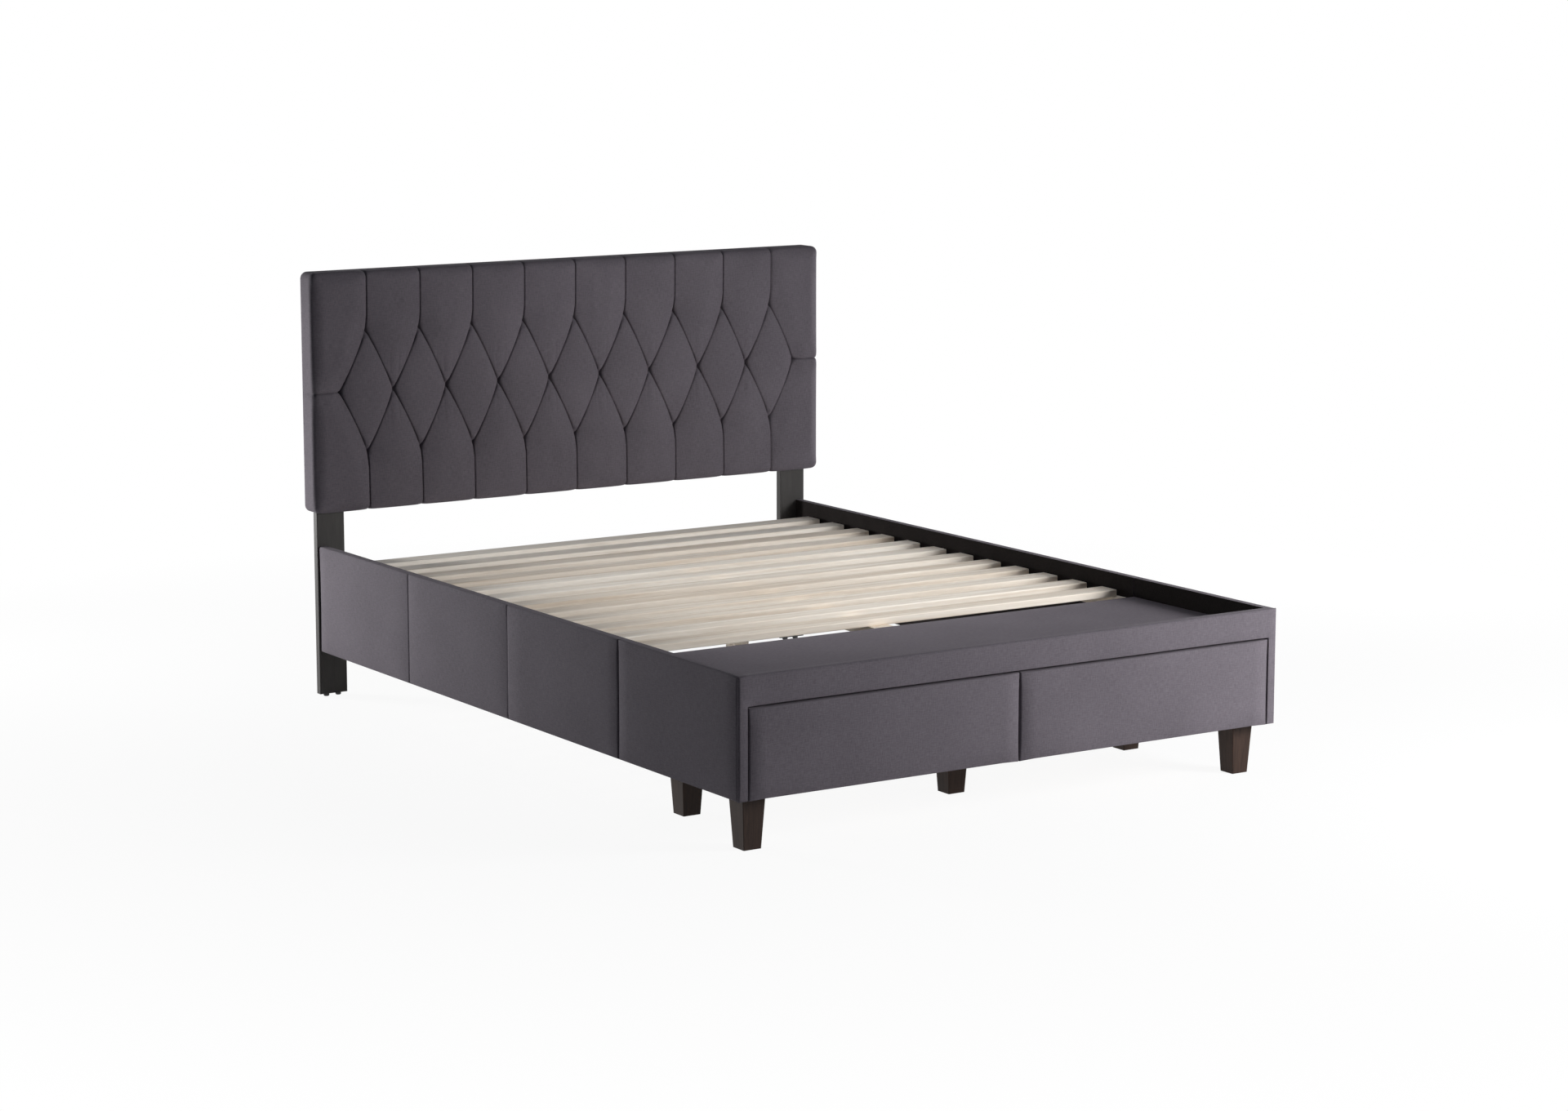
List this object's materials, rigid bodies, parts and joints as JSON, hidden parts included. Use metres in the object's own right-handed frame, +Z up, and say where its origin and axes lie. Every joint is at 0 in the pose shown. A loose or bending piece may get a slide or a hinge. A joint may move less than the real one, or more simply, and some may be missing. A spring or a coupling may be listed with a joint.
{
  "type": "platform bed with storage drawers",
  "caption": "Upholstered platform bed with a tufted headboard, a slatted base and storage drawers that slide out of the foot on telescopic runners.",
  "frame": {"origin": "on the floor, at the middle of the bed's overall width and length", "axes": "+Z up, +Y from the foot towards the headboard, +X to the right when seen from the foot"},
  "size_m": [1.644, 2.183, 1.177],
  "materials": {
    "charcoal_fabric": "plain woven upholstery cloth over foam, charcoal grey",
    "dust_cloth": "black spun-bonded dust cloth",
    "painted_post": "satin charcoal paint on board",
    "espresso_wood": "satin dark brown stain",
    "pine": "planed, unfinished",
    "panel_board": "particle board with a black lining",
    "drawer_board": "lacquered plywood",
    "zinc_steel": "zinc plated sheet steel",
    "black_plastic": "moulded nylon"
  },
  "bodies": {
    "bed_frame": {"angle_brackets": "zinc_steel", "box_back": "panel_board", "box_divider": "panel_board", "bracket_bolts": "zinc_steel", "centre_beam": "pine", "centre_legs": "pine", "deck_board": "panel_board", "deck_cover": "charcoal_fabric", "fixed_slides": "zinc_steel", "front_facing": "charcoal_fabric", "front_left_leg": "espresso_wood", "front_rail": "panel_board", "front_right_leg": "espresso_wood", "headboard_backing": "panel_board", "headboard_battens": "pine", "headboard_dust_cover": "dust_cloth", "headboard_pad": "charcoal_fabric", "left_box_board": "panel_board", "left_box_cover": "charcoal_fabric", "left_post": "painted_post", "left_rail_board": "panel_board", "left_rail_cover": "charcoal_fabric", "leg_bolts": "zinc_steel", "leg_rails": "panel_board", "middle_leg": "espresso_wood", "post_glides": "black_plastic", "rear_left_leg": "espresso_wood", "rear_right_leg": "espresso_wood", "right_box_board": "panel_board", "right_box_cover": "charcoal_fabric", "right_post": "painted_post", "right_rail_board": "panel_board", "right_rail_cover": "charcoal_fabric", "slat_01": "pine", "slat_02": "pine", "slat_03": "pine", "slat_04": "pine", "slat_05": "pine", "slat_06": "pine", "slat_07": "pine", "slat_08": "pine", "slat_09": "pine", "slat_10": "pine", "slat_11": "pine", "slat_12": "pine", "slat_cleats": "pine"},
    "left_drawer": {"left_drawer_back": "drawer_board", "left_drawer_bottom": "drawer_board", "left_drawer_front": "drawer_board", "left_drawer_front_cover": "charcoal_fabric", "left_drawer_sides": "drawer_board", "left_drawer_slides": "zinc_steel"},
    "right_drawer": {"right_drawer_back": "drawer_board", "right_drawer_bottom": "drawer_board", "right_drawer_front": "drawer_board", "right_drawer_front_cover": "charcoal_fabric", "right_drawer_sides": "drawer_board", "right_drawer_slides": "zinc_steel"},
    "left_slide_middle": {"left_middle_slides": "zinc_steel"},
    "right_slide_middle": {"right_middle_slides": "zinc_steel"}
  },
  "joints": [
    {"name": "left_drawer_slide", "type": "slide", "parent": "bed_frame", "child": "left_drawer", "axis": [0, -1, 0], "range_m": [0, 0.4]},
    {"name": "left_middle_slide", "type": "slide", "parent": "bed_frame", "child": "left_slide_middle", "axis": [0, -1, 0], "range_m": [0, 0.2]},
    {"name": "right_drawer_slide", "type": "slide", "parent": "bed_frame", "child": "right_drawer", "axis": [0, -1, 0], "range_m": [0, 0.4]},
    {"name": "right_middle_slide", "type": "slide", "parent": "bed_frame", "child": "right_slide_middle", "axis": [0, -1, 0], "range_m": [0, 0.2]}
  ],
  "couplings": [
    {"joint": "left_middle_slide", "follows": "left_drawer_slide", "ratio": 0.5},
    {"joint": "right_middle_slide", "follows": "right_drawer_slide", "ratio": 0.5}
  ]
}
